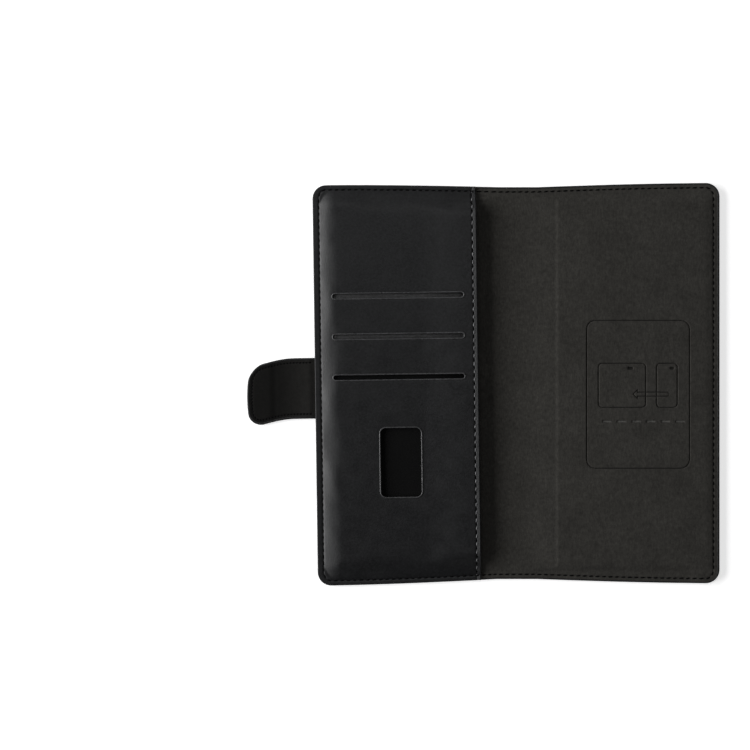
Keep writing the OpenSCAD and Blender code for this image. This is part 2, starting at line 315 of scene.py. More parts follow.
class Outline:
    """A shape with a straight inner end, a free far end with two round corners, and flaring long sides."""

    def __init__(self, side, reach, half, corner, pull, middle=0.0, straight=0.0):
        self.side, self.reach, self.half, self.corner = side, reach, half, corner
        self.pull, self.middle, self.straight = pull, middle, straight
        self.core = reach - corner
        self.span = float(half(np.array(self.core))) - corner

    def y_at(self, x, y):
        share = np.clip((np.abs(y) - self.straight) / (self.span - self.straight), 0, 1)
        return y + np.sign(y) * (self.half(x) - self.corner - self.span) * share

    def plan(self, x_lines, y_lines, rings, closed=True):
        """x_lines run outwards, y_lines span the straight part of the far end, and rings run from the
        outside edge in to the corner radius. A plan that isn't closed stops at its last x line."""
        plan, side, core, corner = Plan(), self.side, self.core, self.corner
        x, y = x_lines[:, None], y_lines[None, :]
        inner = self.y_at(x, y)
        plan.patch(side * x, self.middle + inner, self.reach - x, self.half(x) - np.abs(inner))
        ring = rings[None, :]
        for up in (-1, 1):
            across = up * (self.half(x) - self.pull(ring))
            plan.patch(side * x, self.middle + across, self.reach - x, ring)
        if not closed:
            return plan
        ring = rings[:, None]
        last = self.y_at(core, y)
        plan.patch(side * (self.reach - ring), self.middle + last, ring, self.half(core) - np.abs(last))
        angle = np.linspace(0, np.pi / 2, 14)[None, :]
        for up in (-1, 1):
            out_x = (corner - ring) * np.cos(angle)
            out_y = self.half(core) - corner + (corner - self.pull(ring)) * np.sin(angle)
            deep_y = corner - (corner - ring) * np.sin(angle)
            plan.patch(side * (core + out_x), self.middle + up * out_y, corner - out_x, deep_y)
        return plan

    def ring_line(self, ring, start_x, step=0.4):
        """Points along a ring, out along the top, round the free end and back along the bottom."""
        x = np.arange(start_x, self.core, step)
        top = np.stack([x, self.half(x) - self.pull(ring)], axis=1)
        angle = np.linspace(np.pi / 2, 0, 24)
        low = self.half(self.core) - self.corner
        arc_x = self.core + (self.corner - ring) * np.cos(angle)
        arc_y = low + (self.corner - self.pull(ring)) * np.sin(angle)
        y = np.arange(low, 0, -step)
        edge = np.stack([np.full(len(y), self.reach - ring), y], axis=1)
        half = np.concatenate([top, np.stack([arc_x, arc_y], axis=1), edge])
        whole = np.concatenate([half, half[::-1] * [1, -1]])
        return whole * [self.side, 1] + [0, self.middle]


def ring_distance(dx, dy):
    return edge_distance(dx, dy, CORNER)


FRONT = Outline(-1, REACH, half_height, CORNER, pulled, straight=52.0)
BACK = Outline(1, REACH, half_height, CORNER, pulled, straight=52.0)
STRAP = Outline(-1, STRAP_REACH, lambda x: STRAP_HALF + 0 * x, STRAP_ROUND, lambda r: r, middle=STRAP_MID)


def walk(line):
    """Length of a line of points, and a function from the run along it to the point."""
    run = np.concatenate([[0], np.cumsum(np.hypot(*np.diff(line, axis=0).T))])
    return run[-1], lambda at: np.stack([np.interp(at, run, line[:, k]) for k in (0, 1)], axis=1)


def spaced(line, pitch, first=0.0):
    """Points and directions along a line, one pitch apart."""
    length, point_at = walk(line)
    at = np.linspace(first, length - first, int(round((length - 2 * first) / pitch)) + 1)
    way = point_at(at + 0.2) - point_at(at - 0.2)
    return point_at(at), way / np.hypot(*way.T)[:, None]


def stitches(name, rows, material, length=1.95, width=0.6, rise=0.26, slant=0.1, place=settle):
    """One mesh of thread stitches, a little uneven in slant and length. rows are (points, directions,
    height of the face, 1 up or -1 down)."""
    stations, around = 7, 8
    u = np.linspace(-1, 1, stations)
    body = np.maximum(1 - np.abs(u) ** 3.2, 0.03) ** 0.5
    turn = np.arange(around) * 2 * np.pi / around
    local = np.zeros((stations, around, 3))
    local[..., 0] = (u * length / 2)[:, None]
    local[..., 1] = np.cos(turn)[None, :] * (body * width / 2)[:, None]
    local[..., 2] = np.sin(turn)[None, :] * (body * rise / 2)[:, None] + (rise * 0.42 * (1 - u**2))[:, None]
    local = local.reshape(-1, 3)
    template = grid_faces(stations, around, closed_n=True)
    template.append(list(range(around))[::-1])
    template.append(list(range(len(local) - around, len(local))))
    points, faces, base = [], [], 0
    for point, way, height, up in rows:
        height = np.broadcast_to(height, len(point))
        for i in range(len(point)):
            angle = math.atan2(way[i, 1], way[i, 0]) + slant * (1 + 0.5 * math.sin(i * 12.9898))
            c, s = math.cos(angle), math.sin(angle)
            long = 1 + 0.06 * math.sin(i * 78.233)
            u, v, w = local.T * [[long], [1], [up]]
            stitch = [point[i, 0] + c * u - s * v, point[i, 1] + s * u + c * v, height[i] + w]
            points.append(np.stack(stitch, axis=1))
            faces += [[base + q for q in face[::up]] for face in template]
            base += len(local)
    return make_mesh(name, place(np.concatenate(points)), faces, material, 80)


def bead(name, line, z, width, rise, material):
    """Closed bead along a closed line of points."""
    way = np.roll(line, -1, axis=0) - np.roll(line, 1, axis=0)
    way /= np.hypot(*way.T)[:, None]
    out = np.stack([way[:, 1], -way[:, 0]], axis=1)
    turn = np.arange(10) * 2 * np.pi / 10
    m, n = len(line), len(turn)
    points = np.zeros((m, n, 3))
    points[..., :2] = line[:, None, :] + out[:, None, :] * (np.cos(turn) * width / 2)[None, :, None]
    points[..., 2] = z + (np.sin(turn) * rise)[None, :]
    faces = grid_faces(m, n, closed_m=True, closed_n=True)
    return make_mesh(name, settle(points.reshape(-1, 3)), faces, material, 80)


def rounded_line(cx, cy, w, h, r):
    """Closed line round a rounded rectangle, counterclockwise."""
    step = 0.5
    arcs = []
    for k, (sx, sy) in enumerate(((1, 1), (-1, 1), (-1, -1), (1, -1))):
        angle = np.linspace(0, np.pi / 2, 13) + k * np.pi / 2
        middle = np.array([cx + sx * (w / 2 - r), cy + sy * (h / 2 - r)])
        arcs.append(middle + r * np.stack([np.cos(angle), np.sin(angle)], axis=1))
    length, point_at = walk(np.concatenate([*arcs, arcs[0][:1]]))
    return point_at(np.linspace(0, length, int(length / step) + 1)[:-1])


# ---------- materials ----------


class Nodes:
    """A material whose Principled shader is fed by procedural nodes in object space, in metres."""

    def __init__(self, name, colour, roughness, specular=0.5, sheen=0.0, metallic=0.0):
        self.material = bpy.data.materials.new(name)
        self.material.use_nodes = True
        self.tree = self.material.node_tree
        self.shader = self.tree.nodes["Principled BSDF"]
        values = {"Base Color": (*colour, 1), "Roughness": roughness, "Specular IOR Level": specular}
        values |= {"Sheen Weight": sheen, "Sheen Roughness": 0.5, "Metallic": metallic}
        for key, value in values.items():
            self.shader.inputs[key].default_value = value
        self.colour = colour
        self.place = self.tree.nodes.new("ShaderNodeTexCoord").outputs["Object"]

    def node(self, kind, **values):
        made = self.tree.nodes.new("ShaderNode" + kind)
        for key, value in values.items():
            if hasattr(made, key):
                setattr(made, key, value)
            else:
                made.inputs[key.replace("_", " ")].default_value = value
        return made

    def link(self, a, b):
        self.tree.links.new(a, b)

    def stretched(self, scale):
        made = self.node("Mapping")
        made.inputs["Scale"].default_value = scale
        self.link(self.place, made.inputs["Vector"])
        return made.outputs["Vector"]

    def noise(self, scale, detail=3.0, stretch=None, rough=0.5):
        made = self.node("TexNoise", Scale=scale, Detail=detail, Roughness=rough)
        self.link(self.stretched(stretch) if stretch else self.place, made.inputs["Vector"])
        return made.outputs["Fac"]

    def span(self, value, low, high, to_low, to_high):
        made = self.node("MapRange")
        for key, v in (("From Min", low), ("From Max", high), ("To Min", to_low), ("To Max", to_high)):
            made.inputs[key].default_value = v
        self.link(value, made.inputs["Value"])
        return made.outputs["Result"]

    def vary(self, noise, low, high):
        """The middle of a noise's range, spread from low to high."""
        return self.span(noise, 0.3, 0.7, low, high)

    def maths(self, operation, a, b):
        made = self.node("Math", operation=operation)
        for value, socket in ((a, made.inputs[0]), (b, made.inputs[1])):
            if isinstance(value, (int, float)):
                socket.default_value = value
            else:
                self.link(value, socket)
        return made.outputs[0]

    def tint(self, *shares):
        """Base colour times each of the given values."""
        value = shares[0]
        for other in shares[1:]:
            value = self.maths("MULTIPLY", value, other)
        made = self.node("Mix", data_type="RGBA", blend_type="MULTIPLY")
        made.inputs[0].default_value = 1
        made.inputs[6].default_value = (*self.colour, 1)
        grey = self.node("CombineColor")
        for socket in grey.inputs[:3]:
            self.link(value, socket)
        self.link(grey.outputs[0], made.inputs[7])
        self.link(made.outputs[2], self.shader.inputs["Base Color"])

    def rough(self, value, low, high):
        self.link(self.vary(value, low, high), self.shader.inputs["Roughness"])

    def bumps(self, *layers):
        """layers are (height, strength, distance in millimetres)."""
        normal = None
        for height, strength, deep in layers:
            made = self.node("Bump")
            made.inputs["Strength"].default_value = strength
            made.inputs["Distance"].default_value = deep * MM
            self.link(height, made.inputs["Height"])
            if normal is not None:
                self.link(normal, made.inputs["Normal"])
            normal = made.outputs["Normal"]
        self.link(normal, self.shader.inputs["Normal"])


def leather(name, colour, roughness, grain, specular=0.5):
    """Fine-grained coated leather with small pebbles, faint creases and uneven tone and gloss."""
    m = Nodes(name, colour, roughness, specular)
    clouds = m.noise(55, 4)
    fine = m.noise(900, 3)
    pebble = m.node("TexVoronoi", Scale=1500)
    m.link(m.place, pebble.inputs["Vector"])
    m.tint(m.vary(clouds, 0.91, 1.09), m.vary(fine, 0.62, 1.38))
    m.rough(m.noise(160, 3), roughness - 0.05, roughness + 0.07)
    creases, dents = m.noise(420, 4), m.noise(60, 3)
    m.bumps((pebble.outputs["Distance"], grain, 0.05), (creases, grain * 0.6, 0.06), (dents, 0.12, 0.12))
    return m.material


def suede(name, colour, mottle=0.2, nap=0.5):
    """Napped microfibre: brushed mottling, short fibres and no gloss."""
    m = Nodes(name, colour, 0.95, 0.1, sheen=0.03)
    clouds = m.noise(60, 5, rough=0.65)
    patches = m.noise(620, 4, stretch=(0.8, 1.0, 1.0), rough=0.65)
    fibre = m.noise(1500, 3, stretch=(1.0, 0.35, 1.0), rough=0.7)
    m.tint(
        m.vary(clouds, 1 - mottle * 0.6, 1 + mottle * 0.6),
        m.vary(patches, 1 - mottle * 0.9, 1 + mottle * 0.9),
        m.span(fibre, 0.25, 0.75, 1 - mottle * 1.3, 1 + mottle * 1.3),
    )
    m.bumps((fibre, nap, 0.1), (patches, 0.35, 0.12))
    return m.material


def strap_suede_painted_light(name, colour):
    """The strap's suede, with painted light making it lighter near its root and painted shade darkening it
    along its crease.
    """
    m = Nodes(name, colour, 0.95, 0.1, sheen=0.03)
    split = m.node("SeparateXYZ")
    m.link(m.place, split.inputs[0])
    # painted light: the suede is made up to 2.7 times lighter towards the strap's root
    root = m.span(split.outputs["X"], -0.105, -0.092, 1.0, 2.7)
    apart = m.maths("ABSOLUTE", m.maths("ADD", split.outputs["X"], STRAP_CREASE * MM), 0)
    # painted shade: the suede is made darker along the strap's crease
    crease = m.span(apart, 0, 0.003, 0.6, 1.0)
    patches, fibre = m.noise(500, 4, rough=0.65), m.noise(1500, 3, rough=0.7)
    m.tint(root, crease, m.vary(patches, 0.85, 1.15), m.span(fibre, 0.25, 0.75, 0.85, 1.15))
    m.bumps((fibre, 0.5, 0.1), (patches, 0.35, 0.12))
    return m.material


def thread(name, colour, roughness=0.5, specular=0.5):
    """Twisted polyester thread."""
    m = Nodes(name, colour, roughness, specular)
    twist = m.node("TexWave", Scale=900, Distortion=1.5)
    m.link(m.stretched((1.0, 1.0, 0.6)), twist.inputs["Vector"])
    m.tint(m.span(twist.outputs["Fac"], 0, 1, 0.72, 1.2), m.vary(m.noise(2600), 0.85, 1.15))
    m.bumps((twist.outputs["Fac"], 0.5, 0.05))
    return m.material


def fabric(name, colour):
    """Fine plain weave, for the pocket sheets and the tape."""
    m = Nodes(name, colour, 0.8, 0.12)
    warp, weft = [m.node("TexWave", Scale=1300, bands_direction=way) for way in "XY"]
    for threads in (warp, weft):
        m.link(m.place, threads.inputs["Vector"])
    weave = m.maths("MULTIPLY", warp.outputs["Fac"], weft.outputs["Fac"])
    m.tint(m.span(weave, 0, 1, 0.8, 1.15), m.vary(m.noise(70, 4), 0.85, 1.15))
    m.bumps((weave, 0.5, 0.06), (m.noise(120, 3), 0.2, 0.1))
    return m.material


def fibre_board(name, colour):
    """Pressed fibre board with flecks."""
    m = Nodes(name, colour, 0.85, 0.2)
    strands, flecks = m.noise(350, 5, stretch=(1, 0.3, 1)), m.noise(2400)
    m.tint(m.vary(strands, 0.75, 1.2), m.vary(flecks, 0.9, 1.1))
    m.bumps((m.noise(900, 4), 0.4, 0.08))
    return m.material


def metal(name, colour, roughness):
    """Plated or rolled metal with a faint brushed grain."""
    m = Nodes(name, colour, roughness, metallic=1.0)
    grain = m.noise(500, 4, stretch=(1, 0.08, 1))
    m.tint(m.vary(grain, 0.9, 1.06))
    m.rough(grain, roughness - 0.06, roughness + 0.08)
    m.bumps((grain, 0.15, 0.02))
    return m.material


PANEL_LEATHER = leather("panel_leather", (0.0078, 0.0081, 0.0089), 0.46, grain=0.5, specular=0.36)
OUTER_LEATHER = leather("outer_leather", (0.0090, 0.0090, 0.0094), 0.46, grain=0.8, specular=0.42)
# painted highlight: the welts' leather is made several times lighter than the panel's, for their bright
# lips
WELT_LEATHER_PAINTED_HIGHLIGHT = leather("welt_leather", (0.045, 0.045, 0.047), 0.3, grain=0.3)
INNER_LEATHER = leather("pocket_lining_leather", (0.030, 0.030, 0.031), 0.5, grain=0.9)
SUEDE = suede("suede_lining", (0.0395, 0.0378, 0.0342))
# painted shade: darker suede for the faces sunk in the dock's pressed lines
PRESSED_SUEDE_PAINTED_SHADE = suede("pressed_suede_painted_shade", (0.0150, 0.0143, 0.0130), mottle=0.1, nap=0.25)
# painted glint: much lighter suede for the faces of the pressed dashes
PRESSED_SUEDE_PAINTED_GLINT = suede("pressed_suede_painted_glint", (0.085, 0.083, 0.078), mottle=0.25, nap=0.25)
# strap suede with painted light near its root and painted shade along its crease
STRAP_SUEDE = strap_suede_painted_light("strap_suede", (0.0066, 0.0064, 0.0060))
THREAD = thread("seam_thread", (0.0016, 0.0016, 0.0017), 0.8, 0.08)
# painted highlight: the hem thread is made pale, for the bright stitches
HEM_THREAD_PAINTED_HIGHLIGHT = thread("hem_thread", (0.11, 0.11, 0.115), 0.4)
# painted shade: the pocket fabric is made nearly black, for the shadowed inside of the window
POCKET_FABRIC_PAINTED_SHADE = fabric("pocket_fabric_painted_shade", (0.0018, 0.0018, 0.0019))
TAPE_FABRIC = fabric("tape_fabric", (0.2, 0.18, 0.15))
BOARD = fibre_board("board", (0.14, 0.12, 0.095))
STEEL = metal("rolled_steel", (0.55, 0.56, 0.57), 0.35)
PLATED = metal("nickel_plate", (0.66, 0.65, 0.62), 0.24)


# ---------- heights ----------


def edge_lift(x):
    """How much higher the layers lie towards the back cover's open edge."""
    return BACK_LIFT * smoothstep((x - 74) / 9)


def rim_top(x, y, dx, dy):
    """Top of the outer leather: the turned-over edge, then the face that the other layers lie on."""
    d = ring_distance(dx, dy)
    edge = FLANGE + edge_lift(x) - rounding(d, 0.42)
    inner = np.maximum(edge - rounding(TURNED_EDGE - d, 0.15), LEATHER_TOP)
    return np.where(d < TURNED_EDGE - 0.01, inner, LEATHER_TOP)


def outer_face(x, y, dx, dy):
    """Outer face of the leather, with its edge rounded and the perimeter seam sunk in."""
    d = ring_distance(dx, dy)
    seam = 0.14 * bump((d - SEAM) / 0.75)
    beyond_board = 0.03 * smoothstep((4.4 - d) / 1.2)
    return 0.04 + beyond_board + seam + rounding(d, 0.55)


def board_share(x, y):
    """1 over a cover's board, falling to 0 round it: most gently towards the spine, where the lining
    bridges the board's edge, and at the open edge of the back cover."""
    reach, side = np.abs(x), np.abs(y)
    inner = 0.7 * smoothstep((reach - 3) / (BOARD_LOW[0] - 2))
    inner = inner + 0.3 * smoothstep((reach - BOARD_LOW[0] + 0.1) / 1.7)
    past = np.where(x > 0, 4.0, 2.6)
    outer = smoothstep((BOARD_HIGH[0] + past - reach) / (past + 2.0))
    return np.minimum(np.minimum(inner, outer), smoothstep((BOARD_HIGH[1] + 2.2 - side) / 3.6))


def lining_top(x, y, dx, dy):
    d = ring_distance(dx, dy)
    share = board_share(x, y)
    soft = 0.05 * wave(x, y, 34, 1) + 0.03 * wave(x, y, 13, 2)
    seam = -0.18 * bump((d - SEAM) / 0.7)
    base = FLANGE + edge_lift(x)
    height = base + (PLATEAU - base) * share + soft * share
    return height + seam - 0.05 * smoothstep((2.2 - d) / 0.5)


def pressed_in(gaps):
    """Depth of grooves, from signed distances outside them."""
    return GROOVE_DEEP * smoothstep(0.5 - np.minimum.reduce(gaps) / 0.22)


def dock_depth(x, y):
    """How far the lining is pressed in by the dock outline and its plain placement sign."""
    cx, cy, w, h, r = DOCK
    u, v = x - cx, y - cy
    half = GROOVE / 2

    def pad(mx, my, pw, ph, pr):
        return rect_distance(u - mx, v - my, pw / 2, ph / 2, pr)

    def ring(mx, my, rw, rh, rr):
        return np.abs(pad(mx, my, rw - GROOVE, rh - GROOVE, rr - half)) - half

    # the dock's outline, two phone shapes with a camera mark each, and an outlined arrow
    gaps = [ring(0, 0, w, h, r), ring(-7.1, 4, 21.5, 20, 2), ring(12.8, 4, 9.7, 20, 2)]
    gaps += [pad(-3.4, 11.6, 2.6, 1.4, 0.6), pad(15, 11.6, 2.2, 1.2, 0.5)]
    head = np.maximum((np.abs(v - 0.1) - (u + 2.4)) / math.sqrt(2), u + 0.1)
    arrow = np.minimum(head, pad(6.1, 0.1, 15, 2.2, 0.05))
    gaps.append(np.abs(arrow + 0.2) - 0.2)
    return np.maximum(pressed_in(gaps), dash_depth(x, y))


def dash_depth(x, y):
    """The row of six plain dashes under the placement sign."""
    u, v = x - DOCK[0] + 14, y - DOCK[1] + 12
    return pressed_in([rect_distance(u - DASH_PITCH * i, v, 2, 0.5, 0.4) for i in range(6)])


def slope_distance(dx, dy):
    """Distance in from the outline, with the rounder corners that the panel's slopes have."""
    return edge_distance(dx, dy, 10)


def panel_height(x, y, dx, dy):
    """Top of the card panel before its edges and openings."""
    width = PANEL_SLOPE * (1 + 0.22 * wave(x, y, 24, 6))
    rise = ease_out((slope_distance(dx, dy) - PANEL_BORDER) / width)
    border = FLANGE + PANEL_THICK
    return border + (PANEL_TOP - border) * rise


def opening_gap(x, y):
    """Distance outside the middle of the nearest opening's welt."""
    gaps = [rect_distance(x - mid[0], y - mid[1], *half, corner) for _, mid, half, corner in OPENINGS]
    return np.minimum.reduce(gaps)


def plateau_share(dx, dy):
    """1 on the panel's face, falling to 0 over its slopes."""
    return smoothstep((slope_distance(dx, dy) - 6) / 6)


def flap_lift(free, dx, dy):
    """How far the panel stands up at a distance in from its free edge."""
    return FLAP_LIFT * smoothstep((FLAP_BEND + 2 - free) / FLAP_BEND) * plateau_share(dx, dy)


def panel_top(x, y, dx, dy, swell=None):
    d = ring_distance(dx, dy)
    z = panel_height(x, y, dx, dy)
    z = z + plateau_share(dx, dy) * (0.05 * wave(x, y, 46, 3) + 0.012 * wave(x, y, 17, 4))
    if swell is not None:
        z = z + swell(x, y)
    free = -x - PANEL_X
    hem = bump((free - (HEM_X - PANEL_X)) / 0.8)
    curl = 0.22 * bump((free - 0.55) / 0.5)
    z = z + flap_lift(free, dx, dy) + curl - 0.3 * hem - rounding(free, 0.5)
    z = z - 0.2 * bump((d - SEAM) / 0.7) - rounding(d, 0.4)
    near = opening_gap(x, y)
    return z - 0.03 * smoothstep(1 - near / 1.6)


def panel_under(x, y, dx, dy):
    z = panel_height(x, y, dx, dy) - PANEL_THICK
    free = -x - PANEL_X
    return np.maximum(z, FLANGE) + flap_lift(free, dx, dy) + rounding(free, 0.1)


# ---------- layers of the two covers ----------

RINGS = np.array(
    [0, 0.04, 0.12, 0.24, 0.4, 0.6, 0.8, 0.92, 0.98, 1.0, 1.1, 1.3, 1.7, 2.0, 2.2, 2.35, 2.5, 2.7, 2.9]
    + [3.05, 3.2, 3.4, 3.6, 3.85, 4.1, 4.4, 4.7, 5.0, 5.3, 5.65, CORNER]
)
CORE = REACH - CORNER
SPAN = FRONT.span


def from_ring(low, rings):
    return np.concatenate([[low], rings[rings > low + 0.02]])


def folding(piece, nodes):
    """A piece that runs from a cover into the spine, in place of CAD nodes, with its place baked into its
    mesh.
    """
    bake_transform(piece)
    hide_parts(*nodes)


def riding(piece, body, node):
    """A piece that moves with one body, in place of a CAD node."""
    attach(piece, body)
    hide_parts(node)


def outer_leather():
    gap = STRAP_HALF + 0.15
    strap_ends = [(STRAP_MID + s * gap - 0.2, STRAP_MID + s * gap + 0.2, 0.1) for s in (-1, 1)]
    x = lines(0, CORE, 2.5, (0, 15, 0.6))
    y = lines(-SPAN, SPAN, 3.0, *strap_ends)

    def front_top(x, y, dx, dy):
        under_strap = (np.abs(y - STRAP_MID) < gap) & (x < -REACH + CORNER)
        return np.where(under_strap, LEATHER_TOP - 0.02, rim_top(x, y, dx, dy))

    front = shell("outer_leather_front", FRONT.plan(x, y, RINGS), front_top, outer_face, OUTER_LEATHER)
    back = shell("outer_leather_back", BACK.plan(x, y, RINGS), rim_top, outer_face, OUTER_LEATHER)
    folding(front, ("front_outer_leather", "spine_leather"))
    folding(back, ("back_outer_leather",))


def dock_zones(middle, size, low, high):
    """Fine grid zones at both ends of the dock's outline, and from low to high over its sign."""
    out, into = 0.4, 4.4
    start, end = middle - size / 2, middle + size / 2
    spans = ((start - out, start + into), (middle + low, middle + high), (end - into, end + out))
    return [(*span, GROOVE_GRID) for span in spans]


def lining():
    board_zones_x = ((12, 19.5, 0.4), (80, CORE, 0.6))
    board_zones_y = ((-SPAN, -78, 0.5), (78, SPAN, 0.5))
    cx, cy, width, height = DOCK[:4]
    dock_x, dock_y = dock_zones(cx, width, -18.3, 18.3), dock_zones(cy, height, -19, 14.8)
    rings = from_ring(TURNED_EDGE + 0.02, RINGS)

    def back_top(x, y, dx, dy):
        return lining_top(x, y, dx, dy) - dock_depth(x, y)

    def under(top):
        def underside(x, y, dx, dy):
            reach = np.abs(x)
            over = (reach > BOARD_LOW[0]) & (reach < BOARD_HIGH[0]) & (np.abs(y) < BOARD_HIGH[1])
            lowest = np.where(over, BOARD_HIGH[2] + 0.01, LEATHER_TOP + 0.01)
            return np.maximum(top(x, y, dx, dy) - LINING_THICK, lowest)

        return underside

    bend = (0, 15, 0.7)
    x = lines(0, CORE, 3, bend, *board_zones_x)
    y = lines(-SPAN, SPAN, 3, *board_zones_y)
    front = shell("lining_front", FRONT.plan(x, y, rings), lining_top, under(lining_top), SUEDE)
    x = lines(0, CORE, 2.5, bend, *board_zones_x, *dock_x)
    y = lines(-SPAN, SPAN, 2.5, *board_zones_y, *dock_y)
    back = BACK.plan(x, y, rings)
    # the pressed lines get a darker suede as painted shade, the dashes a lighter one as a painted glint
    marks = ((dock_depth, PRESSED_SUEDE_PAINTED_SHADE), (dash_depth, PRESSED_SUEDE_PAINTED_GLINT))
    back = shell("lining_back", back, back_top, under(back_top), SUEDE, pressed=marks)
    folding(front, ("front_lining", "spine_lining"))
    folding(back, ("back_lining",))


def plain_plan(side, low, high, steps):
    """Rectangle with lines close to its edges, so that they can be rounded."""
    plan, edge, fine = Plan(), 0.5, 0.12
    x, y = [
        lines(a, b, step, (a, a + edge, fine), (b - edge, b, fine)) for a, b, step in zip(low, high, steps)
    ]
    x, y = x[:, None], y[None, :]
    plan.patch(side * x, y, np.minimum(x - low[0], high[0] - x), np.minimum(y - low[1], high[1] - y))
    return plan


def softened(z, radius, up=1):
    """Height of a level face with its edges rounded."""
    return lambda x, y, dx, dy: z - up * rounding(np.minimum(dx, dy), radius)


def block(name, node, steps, top, bottom, material, place=settle):
    """Plain block in the place of a CAD node on the -X side. top and bottom are pairs: how far the face
    lies inside the node's, and the radius of its edges."""
    low, high = mm_box(node)
    plan = plain_plan(-1, (-high[0], low[1]), (-low[0], high[1]), steps)
    upper = softened(high[2] - top[0], top[1])
    lower = softened(low[2] + bottom[0], bottom[1], -1)
    return shell(name, plan, upper, lower, material, place=place)


def stiffeners():
    """Board in the front cover, leaning with it, and the tape in the spine."""
    board = block("board_front", "front_board", (3, 4), (0.01, 0.15), (0.01, 0.15), BOARD)
    riding(board, "front_cover", "front_board")
    low, high = mm_box("spine_tape")
    upper, lower = softened(LEATHER_TOP + 0.012, 0), softened(LEATHER_TOP + 0.004, 0)
    for name, side in (("spine_tape_front", -1), ("spine_tape_back", 1)):
        plan = plain_plan(side, (0, low[1]), high[:2], (0.6, 4))
        tape = shell(name, plan, upper, lower, TAPE_FABRIC)
        folding(tape, ["spine_tape"])


# ---------- card panel ----------


def simulated_swell():
    """Lets a coarse copy of the panel swell as cloth that is held along its sewn border and its hem, and
    returns the rise as a function of place, capped, because cards and pockets hold the leather flat."""
    scale = 10 * MM  # the cloth is made at ten times its size
    low_x, high_x = -REACH + 8.0, -PANEL_X - 4.2
    high_y = HALF_EDGE - 8.0
    nx, ny = 34, 84
    xs, ys = np.linspace(low_x, high_x, nx), np.linspace(-high_y, high_y, ny)
    grid = np.stack(np.meshgrid(xs, ys, indexing="ij"), axis=-1).reshape(-1, 2)
    points = np.column_stack([grid * scale, 0.003 * wave(grid[:, 0], grid[:, 1], 30, 5)])
    faces = [[a, d, c, b] for a, b, c, d in grid_faces(nx, ny)]
    mesh = bpy.data.meshes.new("swell")
    mesh.from_pydata(points.tolist(), [], faces)
    cloth = add_object("swell", mesh)
    held = cloth.vertex_groups.new(name="held")
    edge = (grid[:, 0] < xs[1]) | (grid[:, 0] > xs[-2]) | (np.abs(grid[:, 1]) > ys[-2])
    held.add(np.flatnonzero(edge).tolist(), 1.0, "REPLACE")
    modifier = cloth.modifiers.new("cloth", "CLOTH")
    settings = modifier.settings
    settings.vertex_group_mass = "held"
    settings.use_pressure = True
    settings.uniform_pressure_force = 4
    settings.tension_stiffness = 40
    settings.bending_stiffness = 8
    settings.effector_weights.gravity = 0
    modifier.point_cache.frame_start, modifier.point_cache.frame_end = 1, 20
    for at in range(1, 21):
        bpy.context.scene.frame_set(at)
    shown = cloth.evaluated_get(bpy.context.evaluated_depsgraph_get()).to_mesh()
    rise = np.array([v.co.z for v in shown.vertices]).reshape(nx, ny) / scale
    bpy.data.objects.remove(cloth)
    bpy.context.scene.frame_set(1)
    if abs(rise.min()) > rise.max():
        rise = -rise
    rise = np.clip(rise, 0, None)
    rise = PANEL_SWELL * np.tanh(rise / max(np.percentile(rise, 60), 1e-6))

    def swell(x, y):
        u = np.clip((x - xs[0]) / (xs[1] - xs[0]), 0, nx - 1.001)
        v = np.clip((y - ys[0]) / (ys[1] - ys[0]), 0, ny - 1.001)
        i, j = u.astype(int), v.astype(int)
        u, v = u - i, v - j
        near = rise[i, j] * (1 - v) + rise[i, j + 1] * v
        far = rise[i + 1, j] * (1 - v) + rise[i + 1, j + 1] * v
        return near * (1 - u) + far * u

    return swell


def card_panel():
    swell = simulated_swell()

    def top(x, y, dx, dy):
        return panel_top(x, y, dx, dy, swell)

    zones_x = [(PANEL_X, PANEL_X + 0.5, 0.08), (PANEL_X + 0.5, HEM_X + 1.2, 0.2), (CORE - 3.5, CORE, 0.5)]
    zones_y = [(-SPAN, -SPAN + 4, 0.5), (SPAN - 4, SPAN, 0.5)]
    for _, middle, half, _ in SLOTS:
        beside, inwards = half[1] + WELT / 2 + 1.6, 2.6
        zones_y.append((middle[1] - beside, middle[1] + beside, 0.22))
        low, high = -middle[0] - half[0] - WELT / 2, -middle[0] + half[0] + WELT / 2
        zones_x += [(low, low + inwards, 0.25), (high - inwards, high, 0.25)]
    _, middle, half, _ = WINDOW
    for zones, centre, reach in ((zones_x, -middle[0], half[0]), (zones_y, middle[1], half[1])):
        for edge in (centre - reach - WELT / 2, centre + reach + WELT / 2):
            zones.append((edge - 2.2, edge + 2.2, 0.25))
    x = lines(PANEL_X, CORE, 1.5, *zones_x)
    y = lines(-SPAN, SPAN, 1.5, *zones_y)
    plan = FRONT.plan(x, y, RINGS)
    panel = shell("card_panel", plan, top, panel_under, PANEL_LEATHER, lambda x, y: opening_gap(x, y) >= 0)
    riding(panel, "front_cover", "card_panel_leather")
    for node, middle, half, corner in OPENINGS:
        line = rounded_line(*middle, *(2 * half), corner)
        inside = np.full(len(line), 20.0)  # far from the panel's edges
        z = top(*line.T, inside, inside) + 0.04
        # the welts' finish carries a painted highlight colour
        welt = bead("rolled_" + node, line, z[:, None], WELT + 0.02, 0.26, WELT_LEATHER_PAINTED_HIGHLIGHT)
        riding(welt, "front_cover", node)


